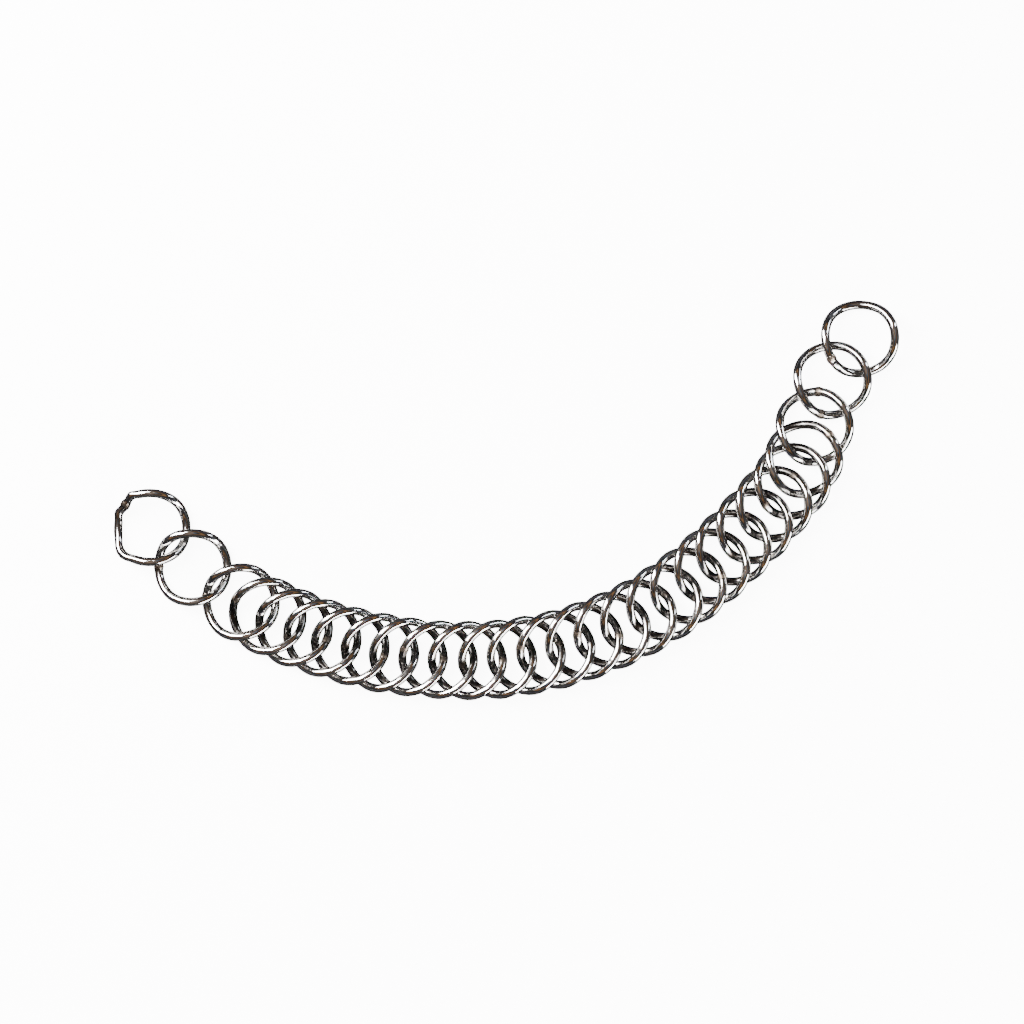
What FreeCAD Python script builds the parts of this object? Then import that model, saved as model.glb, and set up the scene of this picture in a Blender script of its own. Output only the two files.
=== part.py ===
import FreeCAD, Part
import os

# Flattened double-link curb chain, laid in a curve on a flat surface.
# Millimetres. X runs to the right, Y away from the viewer and Z up; the origin is
# on the surface, under the middle of the chain's outline.
#
# Every ring is the same twisted ring: round wire bent in four equal quarter bends.
# A flat ring turns through 90 degrees per quarter. Here each quarter turns further,
# so the bends leave the ring's plane, down and up in turn, and linked rings can lie
# flat on each other.

os.makedirs("parts", exist_ok=True)
doc = FreeCAD.newDocument("curb_chain")

# ---------------------------------------------------------------- driving sizes

DOUBLES = 22       # middle rings, each linked into the next two

SIZES = [
    ("wire_diameter", 2.2, "diameter of the ring wire"),
    ("ring_radius", 8.95, "radius of a ring, to the centre of its wire"),
    ("pull_clearance", 0.75, "left between two linked rings pulled apart along the chain"),
    ("cross_clearance", 1.16, "left between two wires where one ring crosses over another"),
    ("past_clearance", 1.01, "left between the last double ring and the right second ring"),
    ("cross_share", 0.7, "ring rise over the height that a crossing needs"),
    ("start_heading", -44.0, "degrees from X at which the chain leaves its left end"),
    ("start_x", -88.90, "centre of the left end ring"),
    ("start_y", -7.49, "centre of the left end ring"),
]

# How much closer (-) or further apart (+) each ring lies to the next than its pitch,
# left end to right end. Two double steps together stay at or under twice the pitch.
# The last two double rings lie as close as their wires allow, and the right second ring
# lies just past the last of them, so these three steps have no value here.
LEFT_SINGLE_EXTRAS = [-0.6, 0.0]
DOUBLE_EXTRAS = [
    0.2, -0.3, 0.1, -0.1, 0.2, -0.3, 0.1, -0.1, 0.1, -0.2, 0.1,
    -0.1, 0.0, -0.1, 0.1, -0.2, 0.2, -0.3, 0.1, -0.1, -0.2,
]
RIGHT_SINGLE_EXTRAS = [-2.4]

# Change of heading at every ring but the two end ones, in degrees to the left.
TURNS = [8.7, 8.2] + [3.7] * 8 + [4.7] * 7 + [4.0, 3.3, 3.1, 2.8, 2.8, 10.2, 10.4, -1.9, -13.6]


def ring_names():
    """Names of the rings from the left end to the right end."""
    order = ["end", "second", "third"]
    left = ["left_" + place + "_ring" for place in order]
    middle = ["double_ring_%02d" % (i + 1) for i in range(DOUBLES)]
    right = ["right_" + place + "_ring" for place in reversed(order)]
    return left + middle + right


def steps():
    """Each step's pitch name and the amount added to it, left end to right end."""
    found = [("single_pitch", extra) for extra in LEFT_SINGLE_EXTRAS]
    found += [("double_pitch", extra) for extra in DOUBLE_EXTRAS]
    found += [("close_pitch", 0.0), ("open_pitch", 0.0), ("past_pitch", 0.0)]
    found += [("single_pitch", extra) for extra in RIGHT_SINGLE_EXTRAS]
    return found


# ---------------------------------------------------------------- spreadsheet

sheet = doc.addObject("Spreadsheet::Sheet", "dims")
sheet.Label = "dims"
next_row = 1


def put(alias, value, note=""):
    """Write one named cell: a plain number, or a formula that starts with '='."""
    global next_row
    cell = "B%d" % next_row
    sheet.set("A%d" % next_row, alias)
    sheet.set(cell, value if isinstance(value, str) else repr(value))
    sheet.setAlias(cell, alias)
    if note:
        sheet.set("C%d" % next_row, note)
    next_row += 1


def put_ring_shape():
    """Sizes of one quarter bend that follow from the driving sizes."""
    put("ring_rise", "=cross_share * (wire_diameter + cross_clearance)",
        "how far the wire's centre leaves the ring's middle plane")
    put("bend_half", "=2 * atan(sqrt(3 - sqrt(8) * sqrt(1 - (ring_rise / ring_radius)^2))) / 1 deg",
        "degrees: half of what a quarter of the ring is bent through, for that rise")
    put("bend_radius", "=ring_radius / (sqrt(2) * sin(bend_half))",
        "radius of a quarter bend, to the wire's centre")
    put("bend_tilt", "=atan(sqrt(tan(bend_half)^2 - 1)) / 1 deg",
        "degrees between a quarter bend's plane and the ring's plane")
    put("bend_reach", "=bend_radius * cos(bend_half)",
        "bend centre to the middle of the chord it stands on")
    put("centre_side", "=ring_radius / 2 - bend_reach * cos(bend_tilt) / sqrt(2)",
        "bend centre, along X and along Y from the ring's centre")
    put("centre_height", "=bend_reach * sin(bend_tilt)",
        "bend centre, above the ring's middle plane")
    put("lie_height", "=ring_rise + wire_diameter / 2",
        "middle plane of a ring above the surface it lies on")


def put_lay(names):
    """Where every ring lies: each centre follows from the one before it."""
    put("single_pitch", "=2 * ring_radius - wire_diameter - pull_clearance",
        "between two single rings pulled straight")
    put("double_pitch", "=single_pitch / 2",
        "between two double rings pulled straight: each also holds the next but one")
    put("close_pitch", "=ring_radius / (2 * cross_share)",
        "between two linked rings as close as their crossing wires allow")
    put("open_pitch", "=2 * double_pitch - close_pitch",
        "after a close step, back out to the full stretch")
    put("past_pitch", "=2 * ring_radius + wire_diameter + past_clearance - open_pitch",
        "from the right third ring, out past the last double ring")
    last = len(names) - 1
    for i, (pitch, extra) in enumerate(steps()):
        put("extra_%02d" % i, extra, names[i] + " to " + names[i + 1])
        put("step_%02d" % i, "=%s + extra_%02d" % (pitch, i))
    for i, turn in enumerate(TURNS):
        put("turn_%02d" % (i + 1), turn, "at " + names[i + 1])
    put("heading_00", "=start_heading")
    put("ring_00_x", "=start_x")
    put("ring_00_y", "=start_y")
    put("ring_00_aim", "=heading_00")
    for i in range(1, last + 1):
        here = "%02d" % i
        back = "%02d" % (i - 1)
        put("ring_%s_x" % here, "=ring_%s_x + step_%s * cos(heading_%s)" % (back, back, back))
        put("ring_%s_y" % here, "=ring_%s_y + step_%s * sin(heading_%s)" % (back, back, back))
        if i < last:
            put("heading_%s" % here, "=heading_%s + turn_%s" % (back, here))
            put("ring_%s_aim" % here, "=(heading_%s + heading_%s) / 2" % (back, here))
        else:
            put("ring_%s_aim" % here, "=heading_%s" % back)


# ---------------------------------------------------------------- rings

# Half turns that carry the first quarter bend onto each of the four quarters.
HALF_TURNS = [
    ("right_far", "vector(0; 0; 1)", 0),
    ("left_far", "vector(0; 1; 0)", 180),
    ("left_near", "vector(0; 0; 1)", 180),
    ("right_near", "vector(1; 0; 0)", 180),
]

QUARTER_PLACE = (
    "placement(vector(0; 0; 0); rotation(%s; %d))"
    " * placement(vector(dims.centre_side; dims.centre_side; dims.centre_height);"
    " rotation(vector(-1; 1; 0); dims.bend_tilt) * rotation(vector(0; 0; 1); 45 - dims.bend_half))"
)


def make_ring(name, number):
    """One twisted ring, as a body of four quarter bends, placed where it lies."""
    body = doc.addObject("PartDesign::Body", name)
    body.Label = name
    for quarter, axis, angle in HALF_TURNS:
        bend = doc.addObject("PartDesign::AdditiveTorus", name + "_" + quarter)
        body.addObject(bend)
        bend.setExpression("Radius1", "dims.bend_radius")
        bend.setExpression("Radius2", "dims.wire_diameter / 2")
        bend.setExpression("Angle3", "2 * dims.bend_half")
        bend.setExpression("Placement", QUARTER_PLACE % (axis, angle))
    body.setExpression(
        "Placement",
        "placement(vector(dims.ring_%02d_x; dims.ring_%02d_y; dims.lie_height);"
        " rotation(vector(0; 0; 1); dims.ring_%02d_aim))" % (number, number, number),
    )
    return body


# ---------------------------------------------------------------- build and write

def check(objects):
    """Stop if anything failed to compute."""
    for item in doc.Objects:
        bad = [word for word in item.State if word in ("Invalid", "Error")]
        if bad:
            raise RuntimeError(item.Label + " is " + ", ".join(bad))
    for item in objects:
        shape = item.Shape
        if shape.isNull() or not shape.isValid():
            raise RuntimeError(item.Label + " has no valid shape")
        if len(shape.Solids) != 1:
            raise RuntimeError("%s has %d solids" % (item.Label, len(shape.Solids)))


ring_list = ring_names()
for alias, value, note in SIZES:
    put(alias, value, note)
put_ring_shape()
put_lay(ring_list)
doc.recompute()

rings = []
for number, name in enumerate(ring_list):
    rings.append(make_ring(name, number))
doc.recompute()

check(rings)
for ring in rings:
    ring.Shape.exportStep("parts/" + ring.Label + ".step")
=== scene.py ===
import math
import random

import bpy
from mathutils import Matrix, Quaternion, Vector


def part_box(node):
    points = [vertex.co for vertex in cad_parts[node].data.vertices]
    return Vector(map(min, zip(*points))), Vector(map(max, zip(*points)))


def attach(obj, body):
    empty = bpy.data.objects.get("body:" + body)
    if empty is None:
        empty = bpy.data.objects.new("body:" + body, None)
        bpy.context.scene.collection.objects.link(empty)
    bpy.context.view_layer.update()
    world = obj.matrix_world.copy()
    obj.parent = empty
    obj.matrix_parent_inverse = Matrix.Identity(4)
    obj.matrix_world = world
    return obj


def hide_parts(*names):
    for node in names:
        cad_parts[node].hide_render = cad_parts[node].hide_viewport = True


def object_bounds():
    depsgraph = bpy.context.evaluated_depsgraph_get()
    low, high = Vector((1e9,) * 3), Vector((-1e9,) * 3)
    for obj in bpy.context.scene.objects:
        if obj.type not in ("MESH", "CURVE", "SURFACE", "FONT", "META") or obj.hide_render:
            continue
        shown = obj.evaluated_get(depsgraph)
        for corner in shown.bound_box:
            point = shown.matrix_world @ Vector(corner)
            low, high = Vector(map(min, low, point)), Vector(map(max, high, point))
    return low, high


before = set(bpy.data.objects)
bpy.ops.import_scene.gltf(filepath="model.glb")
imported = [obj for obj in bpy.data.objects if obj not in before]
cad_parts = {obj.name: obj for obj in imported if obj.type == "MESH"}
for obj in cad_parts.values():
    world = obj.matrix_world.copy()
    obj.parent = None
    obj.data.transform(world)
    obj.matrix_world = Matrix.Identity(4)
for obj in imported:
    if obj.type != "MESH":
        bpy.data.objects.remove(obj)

CAD_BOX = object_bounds()

bl_info = {
    "name": "Curb chain",
    "version": (1, 0, 0),
    "blender": (4, 5, 0),
    "location": "3D View > Sidebar > Curb chain",
    "description": "Twisted wire rings of a double-link curb chain, their steel and a plain studio",
    "category": "Object",
}

SINGLES_LEFT = ["left_end_ring", "left_second_ring", "left_third_ring"]
SINGLES_RIGHT = ["right_third_ring", "right_second_ring", "right_end_ring"]
DOUBLES = ["double_ring_%02d" % (i + 1) for i in range(22)]
CHAIN = SINGLES_LEFT + DOUBLES + SINGLES_RIGHT
PATTERN = "pattern_ring"
CAD_RINGS = {name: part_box(name) for name in CHAIN}
LEVEL_RING = "double_ring_09"      # its own X lies almost along the frame's X

# Half turns that carry the first quarter bend onto each of the four, and the way each is spun.
QUARTERS = ((-1, (1, 1, 1)), (1, (-1, 1, -1)), (-1, (-1, -1, 1)), (1, (1, -1, -1)))

# Where single rings are welded, in degrees round the ring, from each end of the chain's side.
LEFT_WELDS = (184, 219, 203)
RIGHT_WELDS = (12, 190, 160)
SINGLE_BEAD = 2.0                  # a single ring's weld stands this much prouder
DOUBLE_WELD_SPREAD = 22            # degrees either side of a double ring's nearer end

MARK_SHIFT = 71.3                  # millimetres that one ring's marks lie from the next ring's
WANDER_LENGTH = 0.011              # metres over which a bend strays
SKIN_WAVE_LENGTH = 0.0016          # metres from one low wave on the wire to the next
HEAT_REACH = 1.1                   # millimetres along the wire that the weld's heat fades over
# The bead's steps: half width as a share of the weld's length, rise as a share of its height.
BEAD_STEPS = ((0.5, 0.4), (0.36, 0.35), (0.22, 0.25))

# Nudges that bend the left end ring: degrees round it, half the stretch that is taken
# hold of in degrees, the push outwards and how far it fades, in metres.
END_RING_NUDGES = (
    (183.5, 6.0, -0.00030, 0.0024),     # flat beside the weld
    (166.0, 2.0, 0.00038, 0.0018),      # shoulder above it
    (201.0, 2.0, 0.00038, 0.0018),      # shoulder below it
    (264.0, 3.0, 0.00075, 0.0040),      # squared corner
)


# ------------------------------------------------------------------ sizes and colours

class ChainSizes(bpy.types.PropertyGroup):
    """Sizes of the ring wire and of its weld."""
    wire_diameter: bpy.props.FloatProperty(
        name="Wire diameter", description="Diameter of the ring wire",
        default=0.0022, min=0.0005, unit="LENGTH")
    weld_length: bpy.props.FloatProperty(
        name="Weld length", description="Length of wire that the closing weld covers",
        default=0.0016, min=0.0, unit="LENGTH")
    weld_height: bpy.props.FloatProperty(
        name="Weld height", description="How far the weld stands out of the wire",
        default=0.00008, min=0.0, unit="LENGTH")
    flat_depth: bpy.props.FloatProperty(
        name="Pressed flats", description="How much pressing flattened the ring's highest and lowest wire",
        default=0.00008, min=0.0, unit="LENGTH")
    path_wander: bpy.props.FloatProperty(
        name="Bend wander", description="How far a ring's bends stray from even curves",
        default=0.00026, min=0.0, unit="LENGTH")
    skin_waves: bpy.props.FloatProperty(
        name="Skin waves", description="Height of the low waves that tumbling leaves on the wire",
        default=0.00006, min=0.0, unit="LENGTH")
    around: bpy.props.IntProperty(
        name="Faces round the wire", description="Faces round the wire", default=28, min=8)
    per_bend: bpy.props.IntProperty(
        name="Faces along a bend", description="Faces along each quarter bend", default=72, min=8)


class ChainFinish(bpy.types.PropertyGroup):
    """Colours and gloss of the steel."""
    steel: bpy.props.FloatVectorProperty(
        name="Steel", description="Colour of clean polished steel",
        subtype="COLOR", size=3, min=0, max=1, default=(0.80, 0.79, 0.775))
    warm: bpy.props.FloatVectorProperty(
        name="Handled steel", description="Colour of steel dulled by handling",
        subtype="COLOR", size=3, min=0, max=1, default=(0.66, 0.60, 0.53))
    heat: bpy.props.FloatVectorProperty(
        name="Weld heat tint", description="Colour that welding left beside the joint",
        subtype="COLOR", size=3, min=0, max=1, default=(0.36, 0.29, 0.23))
    # Painted shade: a near-black colour mixed onto the wire where rings lie in each other, standing in for
    # the shade that falls there.
    lap_shade: bpy.props.FloatVectorProperty(
        name="Lap grime", description="Colour of the dark film where rings lie in each other",
        subtype="COLOR", size=3, min=0, max=1, default=(0.040, 0.035, 0.032))
    gloss: bpy.props.FloatProperty(
        name="Roughness", description="Roughness of the polished wire",
        subtype="FACTOR", default=0.07, min=0.0, max=1.0)


class ChainStage(bpy.types.PropertyGroup):
    """Floor, lights and camera."""
    floor: bpy.props.FloatVectorProperty(
        name="Floor", description="Colour of the floor",
        subtype="COLOR", size=3, min=0, max=1, default=(0.93, 0.93, 0.93))
    key_power: bpy.props.FloatProperty(
        name="Key light", description="Power of the large soft light, in watts", default=30.0, min=0.0)
    view_width: bpy.props.FloatProperty(
        name="View width", description="Width of surface that the camera sees",
        default=0.2573, min=0.01, unit="LENGTH")


# ------------------------------------------------------------------ where the rings lie

def ring_lay():
    """Centre of every ring and the heading of its own X, from the CAD rings."""
    centres = []
    for name in CHAIN:
        low, high = CAD_RINGS[name]
        centres.append((low + high) / 2)
    headings = [math.atan2((b - a).y, (b - a).x) for a, b in zip(centres, centres[1:])]
    aims = [headings[0]]
    aims += [(a + b) / 2 for a, b in zip(headings, headings[1:])]
    aims.append(headings[-1])
    return dict(zip(CHAIN, zip(centres, aims)))


def bend_shape(wire):
    """Ring radius, then the half angle, tilt and centre of a quarter bend, from the CAD rings."""
    heights = [high.z - low.z for low, high in CAD_RINGS.values()]
    rise = (sum(heights) / len(heights) - wire) / 2
    low, high = CAD_RINGS[LEVEL_RING]
    radius = (high.x - low.x - wire) / 2
    half = 2 * math.atan(math.sqrt(3 - math.sqrt(8) * math.sqrt(1 - (rise / radius) ** 2)))
    bend = radius / (math.sqrt(2) * math.sin(half))
    tilt = math.atan(math.sqrt(math.tan(half) ** 2 - 1))
    reach = bend * math.cos(half)
    side = radius / 2 - reach * math.cos(tilt) / math.sqrt(2)
    return radius, half, tilt, Vector((side, side, reach * math.sin(tilt)))


# ------------------------------------------------------------------ shaping helpers

def only(piece):
    """Leave nothing selected but this piece, and make it active."""
    bpy.ops.object.select_all(action="DESELECT")
    piece.select_set(True)
    bpy.context.view_layer.objects.active = piece


def pick(piece, wanted):
    """Select the vertices that the test accepts, in edit mode."""
    only(piece)
    bpy.ops.object.mode_set(mode="EDIT")
    bpy.ops.mesh.select_mode(type="VERT")
    bpy.ops.mesh.select_all(action="DESELECT")
    bpy.ops.object.mode_set(mode="OBJECT")
    for vertex in piece.data.vertices:
        vertex.select = wanted(vertex)
    bpy.ops.object.mode_set(mode="EDIT")


def turn_from(vertex, angle):
    """Angle round the ring from the given one to the vertex, between minus and plus half a turn."""
    turn = math.atan2(vertex.co.y, vertex.co.x) - angle
    return (turn + math.pi) % (2 * math.pi) - math.pi


def settle(piece):
    """Put the piece's place and turn into its mesh."""
    only(piece)
    bpy.ops.object.transform_apply(location=True, rotation=True, scale=True)


def wave(piece, label, size, depth, strength, direction):
    """Displace the piece a little with soft noise, and apply it."""
    noise = bpy.data.textures.new(label, "CLOUDS")
    noise.noise_scale = size
    noise.noise_depth = depth
    noise.cloud_type = "COLOR" if direction == "RGB_TO_XYZ" else "GRAYSCALE"
    only(piece)
    step = piece.modifiers.new(label, "DISPLACE")
    step.texture = noise
    step.texture_coords = "LOCAL"
    step.direction = direction
    step.mid_level = 0.5
    step.strength = strength
    bpy.ops.object.modifier_apply(modifier=step.name)
    bpy.data.textures.remove(noise)


def make_pattern(sizes):
    """One plain twisted ring at the origin: a circle spun through four tilted quarter bends."""
    wire = sizes.wire_diameter
    radius, half, tilt, centre = bend_shape(wire)
    lean = Quaternion((-1, 1, 0), tilt)
    axis = lean @ Vector((0, 0, 1))
    along = axis.cross(Vector((radius, 0, 0)) - centre).normalized()
    bpy.ops.object.select_all(action="DESELECT")
    bpy.ops.mesh.primitive_circle_add(
        vertices=sizes.around, radius=wire / 2, fill_type="NOTHING",
        location=(radius, 0, 0), rotation=along.to_track_quat("Z", "Y").to_euler())
    ring = bpy.context.object
    ring.name = PATTERN
    settle(ring)
    bpy.ops.object.mode_set(mode="EDIT")
    bpy.ops.mesh.select_all(action="SELECT")
    for sense, turn in QUARTERS:
        half_turn = Matrix.Diagonal(turn)
        bpy.ops.mesh.spin(
            steps=sizes.per_bend, angle=sense * 2 * half, use_auto_merge=False,
            center=half_turn @ centre, axis=half_turn @ axis)
    bpy.ops.mesh.select_all(action="SELECT")
    bpy.ops.mesh.remove_doubles(threshold=wire / 200)
    bpy.ops.mesh.normals_make_consistent(inside=False)
    bpy.ops.object.mode_set(mode="OBJECT")
    top = max(vertex.co.z for vertex in ring.data.vertices)
    for side in (1, -1):
        level = side * (top - sizes.flat_depth)
        pick(ring, lambda vertex: vertex.co.z * side > abs(level))
        bpy.ops.transform.resize(value=(1, 1, 0), center_override=(0, 0, level))
        bpy.ops.object.mode_set(mode="OBJECT")
    bpy.ops.object.shade_smooth()


def lap_depth(reach, height):
    """How deep in a lap, the mask of the painted shade: most at the ring's two ends along the chain, and
    low down.
    """
    return min(1.0, max(0.0, reach * 1.8 - 0.40)) * (0.74 - 0.46 * height)


def mark_run(piece, wire, weld_at, offset):
    """Store each vertex's place along and round the wire, its nearness to the weld and its lap, the mask
    of the painted shade.
    """
    mesh = piece.data
    radius = bend_shape(wire)[0]
    mesh.attributes.new("wire_run", "FLOAT_VECTOR", "POINT")
    mesh.attributes.new("weld_near", "FLOAT", "POINT")
    mesh.attributes.new("lap", "FLOAT", "POINT")
    run, near, lap = (mesh.attributes[key] for key in ("wire_run", "weld_near", "lap"))
    top = max(vertex.co.z for vertex in mesh.vertices)
    for vertex in mesh.vertices:
        out = Vector((vertex.co.x, vertex.co.y, 0)).length - radius
        round_it = math.atan2(vertex.co.z, out)
        distance = turn_from(vertex, weld_at) * radius * 1000      # in millimetres
        run.data[vertex.index].vector = (distance + offset, math.cos(round_it), math.sin(round_it))
        near.data[vertex.index].value = math.exp(-(distance / HEAT_REACH) ** 2)
        lap.data[vertex.index].value = lap_depth(abs(vertex.co.x) / radius, vertex.co.z / top)


def weld_ring(piece, sizes, weld_at, seed, bead):
    """Raise an uneven bead round the wire where the ring was closed."""
    radius = bend_shape(sizes.wire_diameter)[0]
    height = sizes.weld_height * bead

    def away(vertex):
        return abs(turn_from(vertex, weld_at)) * radius

    for share, rise in BEAD_STEPS:
        pick(piece, lambda vertex: away(vertex) < sizes.weld_length * share)
        bpy.ops.transform.shrink_fatten(value=height * rise)
        bpy.ops.object.mode_set(mode="OBJECT")
    pick(piece, lambda vertex: away(vertex) < sizes.weld_length * 0.42)
    bpy.ops.transform.vertex_random(offset=height * 0.45, normal=1.0, seed=seed)
    bpy.ops.object.mode_set(mode="OBJECT")


def make_ring(name, finish, weld_at, seed, bead=1.0, reshape=None):
    """Copy the pattern ring, weld it, and lay it on its CAD ring."""
    sizes = bpy.context.scene.chain_sizes
    pattern = bpy.data.objects[PATTERN]
    piece = pattern.copy()
    piece.data = pattern.data.copy()
    piece.name = name + "_wire"
    piece.data.name = piece.name
    bpy.context.scene.collection.objects.link(piece)
    mark_run(piece, sizes.wire_diameter, weld_at, seed * MARK_SHIFT)
    weld_ring(piece, sizes, weld_at, seed, bead)
    if reshape:
        reshape(piece)
    centre, aim = ring_lay()[name]
    piece.location = centre
    piece.rotation_euler = (0, 0, aim)
    settle(piece)
    wave(piece, "bend_wander", WANDER_LENGTH, 0, sizes.path_wander, "RGB_TO_XYZ")
    wave(piece, "skin_waves", SKIN_WAVE_LENGTH, 1, sizes.skin_waves, "NORMAL")
    piece.data.materials.clear()
    piece.data.materials.append(bpy.data.materials[finish])
    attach(piece, name)
    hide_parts(name)


# ------------------------------------------------------------------ steel

def group(name, inputs, outputs):
    """A shader node group with named sockets, and its input and output nodes."""
    tree = bpy.data.node_groups.new(name, "ShaderNodeTree")
    for label, kind, default in inputs:
        socket = tree.interface.new_socket(name=label, in_out="INPUT", socket_type=kind)
        if default is not None:
            socket.default_value = default
    for label, kind in outputs:
        tree.interface.new_socket(name=label, in_out="OUTPUT", socket_type=kind)
    return tree, tree.nodes.new("NodeGroupInput"), tree.nodes.new("NodeGroupOutput")


def node(tree, kind, links=(), **settings):
    """Add a node, set its properties and unlinked sockets, and join the given links."""
    made = tree.nodes.new(kind)
    for key, value in settings.items():
        if key.startswith("in_"):
            made.inputs[int(key[3:])].default_value = value
        else:
            setattr(made, key, value)
    for socket, source in links:
        tree.links.new(source, made.inputs[socket])
    return made


def ramp(tree, source, stops):
    """A colour ramp with the given stops."""
    made = node(tree, "ShaderNodeValToRGB", [("Fac", source)])
    band = made.color_ramp
    while len(band.elements) < len(stops):
        band.elements.new(0.5)
    for element, (place, shade) in zip(band.elements, stops):
        element.position = place
        element.color = (*shade, 1)
    return made.outputs["Color"]


def product(tree, first, second):
    """Two varying values multiplied."""
    return node(tree, "ShaderNodeMath", [(0, first), (1, second)], operation="MULTIPLY").outputs[0]


def scaled(tree, source, amount):
    """The value times a fixed amount."""
    return node(tree, "ShaderNodeMath", [(0, source)], operation="MULTIPLY", in_1=amount).outputs[0]


def added(tree, first, second):
    """The sum of two values."""
    return node(tree, "ShaderNodeMath", [(0, first), (1, second)], operation="ADD").outputs[0]


def build_drawn_lines():
    """Fine lines that run along the wire, from drawing it through a die and polishing it."""
    tree, given, result = group(
        "Drawn lines",
        [("Run", "NodeSocketVector", None), ("Fineness", "NodeSocketFloat", 9.0)],
        [("Lines", "NodeSocketFloat"), ("Height", "NodeSocketFloat")])
    stretch = node(tree, "ShaderNodeMapping", [("Vector", given.outputs["Run"])])
    stretch.inputs["Scale"].default_value = (0.05, 1.0, 1.0)
    lines = node(tree, "ShaderNodeTexNoise", [
        ("Vector", stretch.outputs[0]), ("Scale", given.outputs["Fineness"])])
    lines.inputs["Detail"].default_value = 4.0
    lines.inputs["Roughness"].default_value = 0.65
    sharp = node(tree, "ShaderNodeMapRange", [("Value", lines.outputs["Fac"])])
    sharp.inputs["From Min"].default_value = 0.38
    sharp.inputs["From Max"].default_value = 0.66
    tree.links.new(sharp.outputs["Result"], result.inputs["Lines"])
    tree.links.new(lines.outputs["Fac"], result.inputs["Height"])
    return tree


def build_handling():
    """Cloudy dull patches, small pits and short scratches from use."""
    tree, given, result = group(
        "Handling marks",
        [("Patch Scale", "NodeSocketFloat", 260.0), ("Pit Scale", "NodeSocketFloat", 2600.0)],
        [("Patches", "NodeSocketFloat"), ("Pits", "NodeSocketFloat"), ("Scratches", "NodeSocketFloat")])
    place = node(tree, "ShaderNodeTexCoord")
    cloud = node(tree, "ShaderNodeTexNoise", [
        ("Vector", place.outputs["Object"]), ("Scale", given.outputs["Patch Scale"])])
    cloud.inputs["Detail"].default_value = 5.0
    cloud.inputs["Roughness"].default_value = 0.6
    soft = node(tree, "ShaderNodeMapRange", [("Value", cloud.outputs["Fac"])])
    soft.inputs["From Min"].default_value = 0.46
    soft.inputs["From Max"].default_value = 0.72
    pits = node(tree, "ShaderNodeTexVoronoi", [
        ("Vector", place.outputs["Object"]), ("Scale", given.outputs["Pit Scale"])])
    deep = node(tree, "ShaderNodeMapRange", [("Value", pits.outputs["Distance"])])
    deep.inputs["From Min"].default_value = 0.0
    deep.inputs["From Max"].default_value = 0.22
    deep.inputs["To Min"].default_value = 1.0
    deep.inputs["To Max"].default_value = 0.0
    turned = node(tree, "ShaderNodeMapping", [("Vector", place.outputs["Object"])])
    turned.inputs["Rotation"].default_value = (0.5, 0.9, 0.7)
    turned.inputs["Scale"].default_value = (140.0, 2400.0, 2400.0)
    nicks = node(tree, "ShaderNodeTexNoise", [("Vector", turned.outputs[0])])
    nicks.inputs["Scale"].default_value = 1.0
    nicks.inputs["Detail"].default_value = 2.0
    thin = node(tree, "ShaderNodeMapRange", [("Value", nicks.outputs["Fac"])])
    thin.inputs["From Min"].default_value = 0.66
    thin.inputs["From Max"].default_value = 0.74
    tree.links.new(soft.outputs["Result"], result.inputs["Patches"])
    tree.links.new(deep.outputs["Result"], result.inputs["Pits"])
    tree.links.new(thin.outputs["Result"], result.inputs["Scratches"])
    return tree


def build_weld_heat():
    """Scale and heat tint beside the closing weld."""
    tree, given, result = group(
        "Weld heat",
        [("Near", "NodeSocketFloat", 0.0), ("Run", "NodeSocketVector", None)],
        [("Tint", "NodeSocketFloat"), ("Scale", "NodeSocketFloat")])
    crust = node(tree, "ShaderNodeTexNoise", [("Vector", given.outputs["Run"])])
    crust.inputs["Scale"].default_value = 5.0
    crust.inputs["Detail"].default_value = 6.0
    uneven = product(tree, given.outputs["Near"], crust.outputs["Fac"])
    core = node(tree, "ShaderNodeMapRange", [("Value", uneven)])
    core.inputs["From Min"].default_value = 0.30
    core.inputs["From Max"].default_value = 0.52
    halo = node(tree, "ShaderNodeMapRange", [("Value", uneven)])
    halo.inputs["From Min"].default_value = 0.06
    halo.inputs["From Max"].default_value = 0.42
    tree.links.new(halo.outputs["Result"], result.inputs["Tint"])
    tree.links.new(core.outputs["Result"], result.inputs["Scale"])
    return tree


def build_lap_shade():
    """Painted shade in the laps, where rings lie in each other: the lap mask, broken by noise and scaled
    by the amount.
    """
    tree, given, result = group(
        "Lap grime", [("Lap", "NodeSocketFloat", 0.0), ("Amount", "NodeSocketFloat", 1.0)],
        [("Film", "NodeSocketFloat")])
    place = node(tree, "ShaderNodeTexCoord")
    cloud = node(tree, "ShaderNodeTexNoise", [("Vector", place.outputs["Object"])])
    cloud.inputs["Scale"].default_value = 420.0
    cloud.inputs["Detail"].default_value = 5.0
    broken = product(tree, given.outputs["Lap"], cloud.outputs["Fac"])
    shading = node(tree, "ShaderNodeMapRange", [("Value", broken)])
    shading.inputs["From Min"].default_value = 0.10
    shading.inputs["From Max"].default_value = 0.34
    full = product(tree, shading.outputs["Result"], given.outputs["Amount"])
    tree.links.new(full, result.inputs["Film"])
    return tree


def placed(tree, group_tree, links=(), **values):
    """Put a node group in a material, with its own values."""
    made = tree.nodes.new("ShaderNodeGroup")
    made.node_tree = group_tree
    for label, value in values.items():
        made.inputs[label.replace("_", " ")].default_value = value
    for label, source in links:
        tree.links.new(source, made.inputs[label])
    return made


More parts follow.
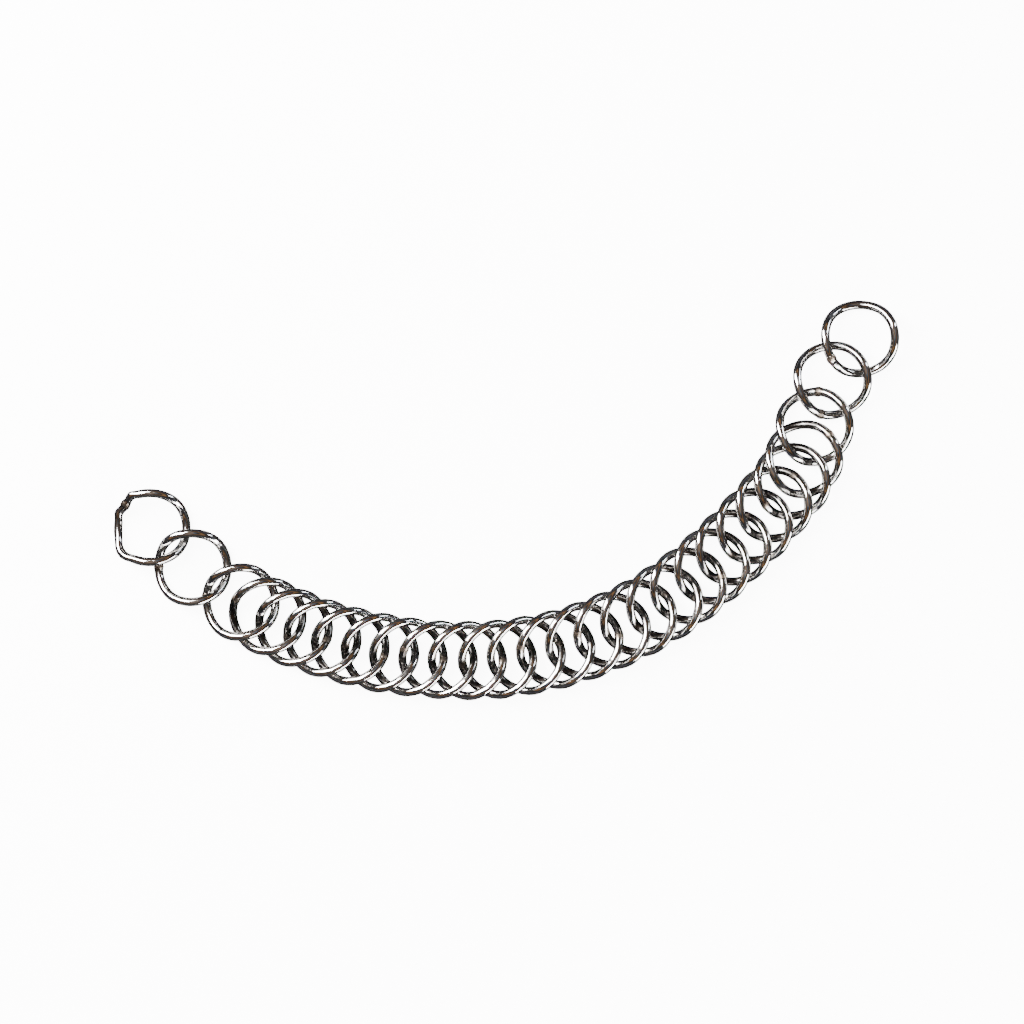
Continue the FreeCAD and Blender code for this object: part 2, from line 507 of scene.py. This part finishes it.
def steel(name, finish, groups, fineness, patch_scale, dullness, relief, shading):
    """Polished steel with drawn lines, handling marks, a heat-tinted weld and painted shade in the laps.
    """
    material = bpy.data.materials.new(name)
    material.use_nodes = True
    tree = material.node_tree
    shader = tree.nodes["Principled BSDF"]
    shader.inputs["Metallic"].default_value = 1.0
    run = node(tree, "ShaderNodeAttribute", attribute_name="wire_run")
    near = node(tree, "ShaderNodeAttribute", attribute_name="weld_near")
    lines = placed(tree, groups["lines"], [("Run", run.outputs["Vector"])], Fineness=fineness)
    marks = placed(tree, groups["marks"], Patch_Scale=patch_scale)
    weld = placed(tree, groups["weld"], [("Near", near.outputs["Fac"]), ("Run", run.outputs["Vector"])])
    lap = node(tree, "ShaderNodeAttribute", attribute_name="lap")
    lap_shade = placed(tree, groups["lap_shade"], [("Lap", lap.outputs["Fac"])], Amount=shading)
    dull = product(tree, marks.outputs["Patches"], lines.outputs["Lines"])
    shade = node(tree, "ShaderNodeMix", [("Factor", scaled(tree, dull, dullness))], data_type="RGBA")
    shade.inputs["A"].default_value = (*finish.steel, 1)
    shade.inputs["B"].default_value = (*finish.warm, 1)
    tinted = node(tree, "ShaderNodeMix", [("Factor", weld.outputs["Tint"])], data_type="RGBA")
    tree.links.new(shade.outputs["Result"], tinted.inputs["A"])
    tinted.inputs["B"].default_value = (*finish.heat, 1)
    # Painted shade: the lap mask darkens the base colour towards near-black.
    shaded = node(tree, "ShaderNodeMix", [("Factor", lap_shade.outputs["Film"])], data_type="RGBA")
    tree.links.new(tinted.outputs["Result"], shaded.inputs["A"])
    shaded.inputs["B"].default_value = (*finish.lap_shade, 1)
    tree.links.new(shaded.outputs["Result"], shader.inputs["Base Color"])
    rough = added(tree, scaled(tree, lines.outputs["Lines"], 0.035),
                  scaled(tree, marks.outputs["Patches"], 0.09 * dullness))
    rough = added(tree, rough, scaled(tree, weld.outputs["Scale"], 0.24))
    rough = added(tree, rough, scaled(tree, lap_shade.outputs["Film"], 0.10))
    rough = node(tree, "ShaderNodeMath", [(0, rough)], operation="ADD", in_1=finish.gloss).outputs[0]
    tree.links.new(rough, shader.inputs["Roughness"])
    height = added(tree, scaled(tree, lines.outputs["Height"], 0.35),
                   scaled(tree, marks.outputs["Pits"], -0.18))
    height = added(tree, height, scaled(tree, marks.outputs["Scratches"], -0.16))
    height = added(tree, height, scaled(tree, weld.outputs["Scale"], 0.5))
    bump = node(tree, "ShaderNodeBump", [("Height", height)])
    bump.inputs["Strength"].default_value = relief
    bump.inputs["Distance"].default_value = 0.00008
    tree.links.new(bump.outputs["Normal"], shader.inputs["Normal"])


# ------------------------------------------------------------------ operators

class CHAIN_OT_steel(bpy.types.Operator):
    """Make the steel of the double rings and of the single rings"""
    bl_idname = "chain.steel"
    bl_label = "Steel finishes"

    def execute(self, context):
        finish = context.scene.chain_finish
        groups = {
            "lines": build_drawn_lines(), "marks": build_handling(),
            "weld": build_weld_heat(), "lap_shade": build_lap_shade()}
        # The last value sets how dark the shade painted into the laps is.
        steel("double_ring_steel", finish, groups,
              fineness=9.0, patch_scale=260.0, dullness=0.9, relief=0.30, shading=0.92)
        steel("single_ring_steel", finish, groups,
              fineness=7.0, patch_scale=180.0, dullness=0.7, relief=0.36, shading=0.45)
        return {"FINISHED"}


class CHAIN_OT_pattern(bpy.types.Operator):
    """Model the plain twisted ring that every ring is copied from"""
    bl_idname = "chain.pattern"
    bl_label = "Pattern ring"

    def execute(self, context):
        make_pattern(context.scene.chain_sizes)
        return {"FINISHED"}


def kink_end_ring(piece):
    """Flatten the end ring beside its weld and square the corner below it."""
    for degrees, spread, push, reach in END_RING_NUDGES:
        middle = math.radians(degrees)
        pick(piece, lambda vertex: abs(turn_from(vertex, middle)) < math.radians(spread))
        bpy.ops.transform.translate(
            value=(push * math.cos(middle), push * math.sin(middle), 0),
            use_proportional_edit=True, use_proportional_connected=True,
            proportional_edit_falloff="SMOOTH", proportional_size=reach)
        bpy.ops.object.mode_set(mode="OBJECT")


class CHAIN_OT_left_singles(bpy.types.Operator):
    """Make the three single rings at the left end"""
    bl_idname = "chain.left_singles"
    bl_label = "Left single rings"

    def execute(self, context):
        for seed, (name, weld) in enumerate(zip(SINGLES_LEFT, LEFT_WELDS)):
            reshape = kink_end_ring if seed == 0 else None
            make_ring(name, "single_ring_steel", math.radians(weld), seed + 1, SINGLE_BEAD, reshape)
        return {"FINISHED"}


class CHAIN_OT_doubles(bpy.types.Operator):
    """Make the double-linked rings of the chain's middle"""
    bl_idname = "chain.doubles"
    bl_label = "Double rings"

    def execute(self, context):
        chance = random.Random(11)
        for seed, name in enumerate(DOUBLES):
            side = 0 if seed % 2 else 180
            weld = side + chance.uniform(-DOUBLE_WELD_SPREAD, DOUBLE_WELD_SPREAD)
            make_ring(name, "double_ring_steel", math.radians(weld), seed + 11)
        return {"FINISHED"}


class CHAIN_OT_right_singles(bpy.types.Operator):
    """Make the three single rings at the right end"""
    bl_idname = "chain.right_singles"
    bl_label = "Right single rings"

    def execute(self, context):
        for seed, (name, weld) in enumerate(zip(SINGLES_RIGHT, RIGHT_WELDS)):
            make_ring(name, "single_ring_steel", math.radians(weld), seed + 41, SINGLE_BEAD)
        return {"FINISHED"}


def soft_light(name, place, size, power, colour):
    """A large soft light at a place, turned to the origin."""
    lamp = bpy.data.lights.new(name, "AREA")
    lamp.shape = "RECTANGLE"
    lamp.size, lamp.size_y = size
    lamp.energy = power
    lamp.color = colour
    stand = bpy.data.objects.new(name, lamp)
    stand.location = place
    stand.rotation_euler = (-Vector(place)).to_track_quat("-Z", "Y").to_euler()
    bpy.context.scene.collection.objects.link(stand)


# Name, place, size, share of the key light's power and colour; each is turned to the origin.
LIGHTS = (
    ("key_light", (-0.50, 0.30, 0.52), (0.30, 0.80), 1.0, (1, 0.985, 0.98)),
    ("low_light", (0.42, -0.50, 0.26), (0.75, 0.14), 0.30, (1, 0.985, 0.98)),
    ("side_light", (0.60, 0.34, 0.30), (0.08, 0.30), 0.05, (0.85, 0.92, 1.0)),
)

# The room's light by direction, from straight away from ROOM_TOP (0) to straight at it (1).
ROOM_TOP = (-0.22, 0.14, 0.965)
ROOM_BANDS = (
    (0.00, (0.02, 0.018, 0.016)), (0.50, (0.03, 0.027, 0.025)), (0.60, (0.11, 0.12, 0.14)),
    (0.66, (0.035, 0.035, 0.04)), (0.80, (0.03, 0.028, 0.027)), (0.86, (0.34, 0.18, 0.08)),
    (0.885, (0.04, 0.035, 0.03)), (0.93, (0.05, 0.055, 0.065)), (0.965, (0.15, 0.17, 0.20)),
    (0.982, (0.34, 0.21, 0.12)), (1.00, (0.04, 0.04, 0.045)),
)
ROOM_SEEN = (7, 7, 7, 1)                   # the room as the camera sees it, past the floor
FLOOR_GLOW = 10.0
FLOOR_MIRRORED = (0.030, 0.027, 0.025, 1)  # the floor as the polished rings mirror it
FLOOR_GAP = 0.00005                        # metres that the floor lies under the chain
FLOOR_SIZE = 6.0

CAMERA_OFFSET = Vector((0.0018, -0.0032, 0))
CAMERA_ROLL = 0.26                         # degrees


class CHAIN_OT_studio(bpy.types.Operator):
    """Set up the floor, the soft lights, the room's glow and the camera"""
    bl_idname = "chain.studio"
    bl_label = "Studio"

    def execute(self, context):
        stage = context.scene.chain_stage
        self.floor(stage)
        self.room()
        for name, place, size, share, colour in LIGHTS:
            soft_light(name, place, size, stage.key_power * share, colour)
        self.camera(stage)
        return {"FINISHED"}

    def floor(self, stage):
        """A wide pale floor just under the chain."""
        bpy.ops.object.select_all(action="DESELECT")
        bpy.ops.mesh.primitive_plane_add(size=FLOOR_SIZE, location=(0, 0, CAD_BOX[0].z - FLOOR_GAP))
        floor = bpy.context.object
        floor.name = "studio_floor"
        material = bpy.data.materials.new("studio_floor")
        material.use_nodes = True
        tree = material.node_tree
        shader = tree.nodes["Principled BSDF"]
        shader.inputs["Base Color"].default_value = (*stage.floor, 1)
        shader.inputs["Roughness"].default_value = 0.9
        shader.inputs["Specular IOR Level"].default_value = 0.1
        shader.inputs["Emission Color"].default_value = (1, 1, 1, 1)
        shader.inputs["Emission Strength"].default_value = FLOOR_GLOW
        grey = node(tree, "ShaderNodeEmission")
        grey.inputs["Color"].default_value = FLOOR_MIRRORED
        seen = node(tree, "ShaderNodeLightPath")
        mix = node(tree, "ShaderNodeMixShader", [
            (0, seen.outputs["Is Glossy Ray"]), (1, shader.outputs[0]), (2, grey.outputs[0])])
        tree.links.new(mix.outputs[0], tree.nodes["Material Output"].inputs["Surface"])
        floor.data.materials.append(material)

    def room(self):
        """A dim room with warm and cool bands for the steel to mirror, and pale to the camera."""
        world = bpy.data.worlds.new("studio_room")
        world.use_nodes = True
        bpy.context.scene.world = world
        tree = world.node_tree
        back = tree.nodes["Background"]
        way = node(tree, "ShaderNodeTexCoord")
        toward = node(tree, "ShaderNodeVectorMath", [(0, way.outputs["Generated"])],
                      operation="DOT_PRODUCT")
        toward.inputs[1].default_value = ROOM_TOP
        spread = node(tree, "ShaderNodeMapRange", [("Value", toward.outputs["Value"])])
        spread.inputs["From Min"].default_value = -1.0
        spread.inputs["From Max"].default_value = 1.0
        bands = ramp(tree, spread.outputs["Result"], ROOM_BANDS)
        seen = node(tree, "ShaderNodeLightPath")
        pale = node(tree, "ShaderNodeMix", [("Factor", seen.outputs["Is Camera Ray"]), ("A", bands)],
                    data_type="RGBA")
        pale.inputs["B"].default_value = ROOM_SEEN
        tree.links.new(pale.outputs["Result"], back.inputs["Color"])
        back.inputs["Strength"].default_value = 1.0

    def camera(self, stage):
        """A long lens straight above the chain."""
        lens = bpy.data.cameras.new("studio_camera")
        lens.lens = 100.0
        lens.sensor_width = 36.0
        stand = bpy.data.objects.new("studio_camera", lens)
        height = stage.view_width / 2 / (lens.sensor_width / 2 / lens.lens)
        middle = (CAD_BOX[0] + CAD_BOX[1]) / 2
        stand.location = middle + CAMERA_OFFSET + Vector((0, 0, height))
        stand.rotation_euler = (0, 0, math.radians(CAMERA_ROLL))
        bpy.context.scene.collection.objects.link(stand)
        bpy.context.scene.camera = stand


class CHAIN_PT_panel(bpy.types.Panel):
    """Buttons and sizes of the curb chain"""
    bl_idname = "CHAIN_PT_panel"
    bl_label = "Curb chain"
    bl_space_type = "VIEW_3D"
    bl_region_type = "UI"
    bl_category = "Curb chain"

    def draw(self, context):
        for settings in (context.scene.chain_sizes, context.scene.chain_finish, context.scene.chain_stage):
            box = self.layout.box()
            for key in settings.__annotations__:
                box.prop(settings, key)
        for operator in OPERATORS:
            self.layout.operator(operator.bl_idname)


SETTINGS = {"chain_sizes": ChainSizes, "chain_finish": ChainFinish, "chain_stage": ChainStage}
OPERATORS = (CHAIN_OT_steel, CHAIN_OT_pattern, CHAIN_OT_left_singles, CHAIN_OT_doubles,
             CHAIN_OT_right_singles, CHAIN_OT_studio)


def register():
    """Register the settings, operators and panel."""
    for kind in SETTINGS.values():
        bpy.utils.register_class(kind)
    for key, kind in SETTINGS.items():
        setattr(bpy.types.Scene, key, bpy.props.PointerProperty(type=kind))
    for kind in OPERATORS + (CHAIN_PT_panel,):
        bpy.utils.register_class(kind)


def unregister():
    """Take the panel, operators and settings away again."""
    for kind in reversed(OPERATORS + (CHAIN_PT_panel,)):
        bpy.utils.unregister_class(kind)
    for key in SETTINGS:
        delattr(bpy.types.Scene, key)
    for kind in reversed(list(SETTINGS.values())):
        bpy.utils.unregister_class(kind)


def main():
    """Build the whole chain and its studio."""
    register()
    bpy.ops.chain.steel()
    bpy.ops.chain.pattern()
    bpy.ops.chain.left_singles()
    bpy.ops.chain.doubles()
    bpy.ops.chain.right_singles()
    bpy.data.objects.remove(bpy.data.objects[PATTERN])
    bpy.ops.chain.studio()
    bpy.context.view_layer.update()


if __name__ == "__main__":
    main()
